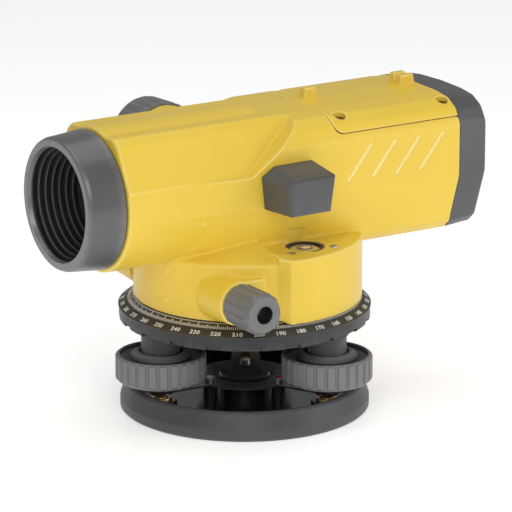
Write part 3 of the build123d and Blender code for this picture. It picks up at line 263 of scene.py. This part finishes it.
BY_SLOT = {
    "yellow_paint": YELLOW, "dark_paint": BASE, "black_anodised": BLACK, "circle_black": CIRCLE,
    "grey_plastic": GREY, "steel": STEEL, "brass": BRASS, "glass": CLEAR, "rubber": RUBBER,
    "vial_glass": FLUID, "magnet": MAGNET, "yellow_plastic": YELLOW,
}
BY_NODE = {
    "rear_cap": CAP, "objective_lenses": LENS, "eye_lenses": LENS, "prism_hood": CAP, "cover_screws": BRONZE,
    "spring_plate": BLACK_GLOSS, "tripod_bush": BLACK_GLOSS, "foot_knob_front": KNOB, "foot_knob_left": KNOB,
    "foot_knob_right": KNOB, "objective_hood": HOOD_GREY,
}


def paint(obj, material):
    """Gives every face the same material."""
    obj.data.materials.clear()
    obj.data.materials.append(material)
    for p in obj.data.polygons:
        p.material_index = 0


def smooth_by_angle(obj, degrees=35.0):
    """Smooth shading, with edges sharper than the angle kept crisp."""
    limit = math.radians(degrees)
    for p in obj.data.polygons:
        p.use_smooth = True
    bm = bmesh.new()
    bm.from_mesh(obj.data)
    bm.edges.ensure_lookup_table()
    sharp = [len(e.link_faces) != 2 or e.calc_face_angle(0.0) > limit for e in bm.edges]
    bm.free()
    for e, s in zip(obj.data.edges, sharp):
        e.use_edge_sharp = s


SLOT_OF = {s["node"]: s["material_slot"] for s in frame["record"]["subparts"]}
for node_name, node_obj in NODES.items():
    paint(node_obj, BY_NODE.get(node_name, BY_SLOT[SLOT_OF[node_name]]))
    smooth_by_angle(node_obj)


def second_material(node, material, chosen):
    """Gives a second material to faces chosen by their centre, in millimetres, and normal."""
    obj = NODES[node]
    obj.data.materials.append(material)
    spin = obj.matrix_world.to_3x3()
    for p in obj.data.polygons:
        if chosen(obj.matrix_world @ p.center / MM, spin @ p.normal):
            p.material_index = 1


def on_knob_floor(c, n):
    """Floors of the dish and the well in a foot knob's top."""
    return n.z > 0.9 and c.z < KNOB_DISH_Z or c.z < KNOB_WELL_Z and n.z > 0.5


def in_hood_groove(c, n):
    """Floors and walls of the grooves inside the hood, and everything behind its last ridge, which take
    painted shade.
    """
    r = math.hypot(c.y, c.z - AXIS_Z)
    outward = (n.y * c.y + n.z * (c.z - AXIS_Z)) / r
    crest = RIDGE_R - (c.x - RIDGE_X) / RIDGE_RUN
    if c.x < LIP_X or r > HOOD_BORE_R or outward > 0.5:
        return False
    return c.x > LAST_RIDGE_X or abs(n.x) > 0.5 or (outward < -0.5 and r > crest + HALF_GROOVE)


def on_tick_band(c, n):
    """The circle's upper slope, which carries the graduations."""
    return math.hypot(c.x, c.y) < BREAK_R and c.z > TICK_BAND_LOW


def in_fine_recess(c, n):
    """The recess in the end of a fine motion knob."""
    return math.hypot(c.x - FINE_X, c.z - FINE_Z) < FINE_RECESS_R


def in_base_hollow(c, n):
    """Floor, posts and inner wall of the base plate."""
    return BASE_LOW < c.z < BASE_HIGH and math.hypot(c.x, c.y) < BASE_INNER_R


for place in ("front", "left", "right"):
    second_material("foot_knob_" + place, KNOB_TOP, on_knob_floor)
second_material("objective_hood", HOOD_GROOVE_SHADE, in_hood_groove)
second_material("horizontal_circle", BAND, on_tick_band)
second_material("fine_knobs", KNOB_TOP, in_fine_recess)
second_material("base_plate", BLACK_GLOSS, in_base_hollow)


# ------------------------------------------------------------------ mesh helpers
def new_object(name, mesh, material, body):
    """A painted object that rides on a body of the model."""
    obj = bpy.data.objects.new(name, mesh)
    bpy.context.scene.collection.objects.link(obj)
    paint(obj, material)
    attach(obj, body)
    return obj


def cast_skin(node, name, voxel, passes):
    """A soft-edged copy of a CAD node: remeshed finely, then its edges eased."""
    src = NODES[node]
    obj = new_object(name, src.data.copy(), src.data.materials[0], src["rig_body"])
    r = obj.modifiers.new("cast", "REMESH")
    r.mode = "VOXEL"
    r.voxel_size = voxel
    s = obj.modifiers.new("ease", "SMOOTH")
    s.factor = 0.5
    s.iterations = passes
    bpy.context.view_layer.update()
    depsgraph = bpy.context.evaluated_depsgraph_get()
    done = bpy.data.meshes.new_from_object(obj.evaluated_get(depsgraph))
    obj.modifiers.clear()
    obj.data = done
    for p in done.polygons:
        p.use_smooth = True
    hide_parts(node)
    return obj


def on_grip_edge(x, z):
    """Whether a point of the housing's side lies on the painted highlight along a grip groove's lit wall."""
    for i in range(GRIP_COUNT):
        dx = x - GRIP_X - GRIP_PITCH * i
        dz = z - GRIP_Z
        across = dx * math.cos(GRIP_LEAN) - dz * math.sin(GRIP_LEAN)
        along = dx * math.sin(GRIP_LEAN) + dz * math.cos(GRIP_LEAN)
        if GRIP_HIGHLIGHT[0] < across < GRIP_HIGHLIGHT[1] and abs(along) < GRIP_HALF_LENGTH:
            return True
    return False


def light_grip_edges(skin):
    """Paints a paler yellow along the lit wall of the housing's slanted grip grooves: a painted highlight.
    """
    skin.data.materials.append(YELLOW_PAINTED_HIGHLIGHT)
    for p in skin.data.polygons:
        x, y, z = skin.matrix_world @ p.center / MM
        at_side = SIDE_Y[0] < abs(y) < SIDE_Y[1] and SIDE_X[0] < x < SIDE_X[1]
        if at_side and on_grip_edge(x, z):
            p.material_index = 1


light_grip_edges(cast_skin("main_housing", "housing_casting", 0.5 * MM, 5))
cast_skin("top_cover", "cover_casting", 0.36 * MM, 4)
cast_skin("rear_cap", "rear_cap_moulding", 0.45 * MM, 4)
cast_skin("prism_hood", "prism_hood_moulding", 0.22 * MM, 4)


# ------------------------------------------------------------------ circle's numerals and graduations
def cone_point(low, high, share, angle, lift):
    """A point on the cone between two (radius, z) rings, from low at share 0, lifted off its surface."""
    (r0, z0), (r1, z1) = low, high
    run, rise = r0 - r1, z1 - z0
    length = math.hypot(run, rise)
    r = r0 + (r1 - r0) * share + lift * rise / length
    z = z0 + (z1 - z0) * share + lift * run / length
    return Vector((r * math.cos(angle), r * math.sin(angle), z)) * MM


def raised_mark(bm, share0, share1, angle):
    """A flat raised line up the tick band."""
    half_width = 0.16
    corners = []
    for lift in (-0.04, 0.05):
        for share, side in ((share0, -1), (share0, 1), (share1, 1), (share1, -1)):
            p = cone_point(*TICK_BAND, share, angle, lift)
            t = Vector((-math.sin(angle), math.cos(angle), 0))
            corners.append(bm.verts.new(p + t * side * half_width * MM))
    a, b = corners[:4], corners[4:]
    bm.faces.new(b)
    bm.faces.new(a[::-1])
    for i in range(4):
        j = (i + 1) % 4
        bm.faces.new((a[i], a[j], b[j], b[i]))


def angle_of(reading):
    """Where a reading stands: seen from above, the numbers grow clockwise."""
    return ZERO_ANGLE - math.radians(reading)


def graduations():
    """A line for each degree, longer at the fives and longest at the tens."""
    bm = bmesh.new()
    for degree in range(360):
        reach = 0.80 if degree % 10 == 0 else (0.62 if degree % 5 == 0 else 0.42)
        raised_mark(bm, 0.04, reach, angle_of(degree))
    mesh = bpy.data.meshes.new("circle_graduations")
    bm.to_mesh(mesh)
    bm.free()
    new_object("circle_graduations", mesh, WHITE, "circle")


def numerals():
    """The degree numbers, bent onto the sloping band, as one mesh."""
    out = bmesh.new()
    slope = math.hypot(EDGE_R - BREAK_R, BREAK_Z - EDGE_Z)
    for reading in range(0, 360, 10):
        text = bpy.data.curves.new("number", "FONT")
        text.body = str(reading)
        text.size = NUMBER_SIZE
        text.align_x = "CENTER"
        text.extrude = 0.04
        text.space_character = 1.08
        text.offset = 0.055
        obj = bpy.data.objects.new("number", text)
        bpy.context.scene.collection.objects.link(obj)
        bpy.context.view_layer.update()
        depsgraph = bpy.context.evaluated_depsgraph_get()
        flat = bpy.data.meshes.new_from_object(obj.evaluated_get(depsgraph))
        bpy.data.objects.remove(obj)
        middle = angle_of(reading)
        for v in flat.vertices:
            x, y, z = v.co
            share = 0.22 + y / slope
            r_here = EDGE_R + (BREAK_R - EDGE_R) * share
            v.co = cone_point(*NUMBER_BAND, share, middle + x / r_here, z + 0.02)
        out.from_mesh(flat)
        bpy.data.meshes.remove(flat)
    bmesh.ops.recalc_face_normals(out, faces=out.faces)
    done = bpy.data.meshes.new("circle_numerals")
    out.to_mesh(done)
    out.free()
    new_object("circle_numerals", done, WHITE, "circle")


graduations()
numerals()


def turned(name, points, material, body, centre, count):
    """A closed ring or disc turned about a vertical axis from (radius, z) points in millimetres."""
    bm = bmesh.new()
    rings = []
    for i in range(count):
        a = 2 * math.pi * i / count
        ring = []
        for r, z in points:
            x = centre[0] + r * math.cos(a)
            y = centre[1] + r * math.sin(a)
            ring.append(bm.verts.new(Vector((x, y, z)) * MM))
        rings.append(ring)
    for i in range(count):
        a, b = rings[i], rings[(i + 1) % count]
        for j in range(len(points)):
            k = (j + 1) % len(points)
            bm.faces.new((a[j], b[j], b[k], a[k]))
    bmesh.ops.remove_doubles(bm, verts=bm.verts, dist=1e-7)
    bmesh.ops.recalc_face_normals(bm, faces=bm.faces)
    mesh = bpy.data.meshes.new(name)
    bm.to_mesh(mesh)
    bm.free()
    smooth_by_angle(new_object(name, mesh, material, body), 40)


def on_tick_slope(share, lift):
    """A (radius, z) point of the tick band, in millimetres."""
    p = cone_point(*TICK_BAND, share, 0.0, lift) / MM
    return (p.x, p.z)


line_corners = ((0.82, -0.05), (0.97, -0.05), (0.97, 0.05), (0.82, 0.05))
line_outline = [on_tick_slope(share, lift) for share, lift in line_corners]
turned("circle_silver_line", line_outline, SILVER, "circle", (0, 0), 360)

# ------------------------------------------------------------------ mark and bubble of the circular level
mark_outline = [
    (MARK_R0, VIAL_TOP - 0.25),
    (MARK_R1, VIAL_TOP - 0.25),
    (MARK_R1, VIAL_TOP + 0.02),
    (MARK_R0, VIAL_TOP + 0.06),
]
turned("level_ring_mark", mark_outline, BLACK, "alidade", (LEVEL_X, LEVEL_Y), 96)
bubble_outline = [
    (0.0, VIAL_TOP - 0.3),
    (BUBBLE_R, VIAL_TOP - 0.3),
    (BUBBLE_R, VIAL_TOP + 0.02),
    (1.6, VIAL_TOP + 0.1),
    (0.0, VIAL_TOP + 0.12),
]
bubble_centre = (LEVEL_X + 0.5, LEVEL_Y - 0.4)
turned("level_bubble", bubble_outline, BUBBLE, "alidade", bubble_centre, 96)


# ------------------------------------------------------------------ sealing lacquer on the screws
def dab(name, x, y, seed, material):
    """A small uneven drop."""
    bm = bmesh.new()
    bmesh.ops.create_icosphere(bm, subdivisions=4, radius=1.0)
    for v in bm.verts:
        u = v.co.copy()
        wave = 1 + 0.13 * math.sin(3.1 * u.x + seed) * math.cos(2.7 * u.y - seed)
        wave = wave + 0.06 * math.sin(7 * u.y + seed)
        across = u.x * LACQUER_R * wave
        along = u.y * LACQUER_R * 0.8 * wave
        v.co = Vector((x + across, y + along, LACQUER_Z + u.z * 0.55)) * MM
    mesh = bpy.data.meshes.new(name)
    bm.to_mesh(mesh)
    bm.free()
    new_object(name, mesh, material, "base")
    for p in mesh.polygons:
        p.use_smooth = True


lacquer_drops = (
    ("lacquer_front", 177.0, 17.6, 0.4, WHITE),
    ("lacquer_left", 297.0, 17.0, 1.7, RED),
    ("lacquer_right", 57.0, 16.6, 2.9, WHITE),
)
for drop_name, degrees, reach, seed, colour in lacquer_drops:
    turn = math.radians(degrees)
    dab(drop_name, reach * math.cos(turn), reach * math.sin(turn), seed, colour)

# ------------------------------------------------------------------ camera, light, floor
AZIMUTH = math.radians(-32.2)
ELEVATION = math.radians(15.7)
DISTANCE = 1.650
BACK = Vector((
    math.sin(AZIMUTH) * math.cos(ELEVATION),
    -math.cos(AZIMUTH) * math.cos(ELEVATION),
    math.sin(ELEVATION),
))
RIGHT = Vector((math.cos(AZIMUTH), math.sin(AZIMUTH), 0))
UP = BACK.cross(RIGHT)
LOOK = Vector((0, 0, 0.075))
AIM_RIGHT, AIM_DOWN = 0.00494, 0.00833  # off the middle of the instrument, as the photograph is framed
AIM = LOOK + RIGHT * AIM_RIGHT - UP * AIM_DOWN
camera = bpy.data.cameras.new("camera")
camera.lens = 270.3
camera.sensor_width = 36.0
camera.clip_start = 0.05
camera.clip_end = 20.0
eye = bpy.data.objects.new("camera", camera)
bpy.context.scene.collection.objects.link(eye)
eye.location = LOOK + BACK * DISTANCE
eye.rotation_euler = (AIM - eye.location).to_track_quat("-Z", "Y").to_euler()
bpy.context.scene.camera = eye

LIGHT_TARGET = Vector((0, 0, 0.08))


def area_light(name, place, side, power):
    """A square softbox that faces the instrument."""
    data = bpy.data.lights.new(name, "AREA")
    data.shape = "RECTANGLE"
    data.size = side
    data.size_y = side
    data.energy = power
    obj = bpy.data.objects.new(name, data)
    bpy.context.scene.collection.objects.link(obj)
    obj.location = place
    obj.rotation_euler = (LIGHT_TARGET - Vector(place)).to_track_quat("-Z", "Y").to_euler()


area_light("key_softbox", (-0.55, -0.85, 0.75), 0.6, 5.0)
area_light("fill_softbox", (0.75, -0.75, 0.35), 0.6, 2.6)
area_light("top_softbox", (0.0, 0.15, 1.0), 0.8, 2.8)
world = bpy.data.worlds.new("studio")
world.use_nodes = True
sky = world.node_tree.nodes["Background"]
sky.inputs["Color"].default_value = (1, 1, 1, 1)
sky.inputs["Strength"].default_value = 0.36
bpy.context.scene.world = world
bpy.context.scene.view_settings.view_transform = "Standard"

FAR = 6  # metres from the middle to the floor's edges
floor_corners = [(-FAR, -FAR, 0), (FAR, -FAR, 0), (FAR, FAR, 0), (-FAR, FAR, 0)]
floor_mesh = bpy.data.meshes.new("studio_floor")
floor_mesh.from_pydata(floor_corners, [], [(0, 1, 2, 3)])
floor = bpy.data.objects.new("studio_floor", floor_mesh)
bpy.context.scene.collection.objects.link(floor)
FLOOR = surface("studio_paper", (0.93, 0.93, 0.93), (0.95, 0.95, 0.95), (0.75, 0.85), cloud=3, grain=900)
FLOOR_SHADER = FLOOR.node_tree.nodes["Principled BSDF"]
FLOOR_SHADER.inputs["Emission Color"].default_value = (1, 1, 1, 1)
FLOOR_SHADER.inputs["Emission Strength"].default_value = 0.40
paint(floor, FLOOR)
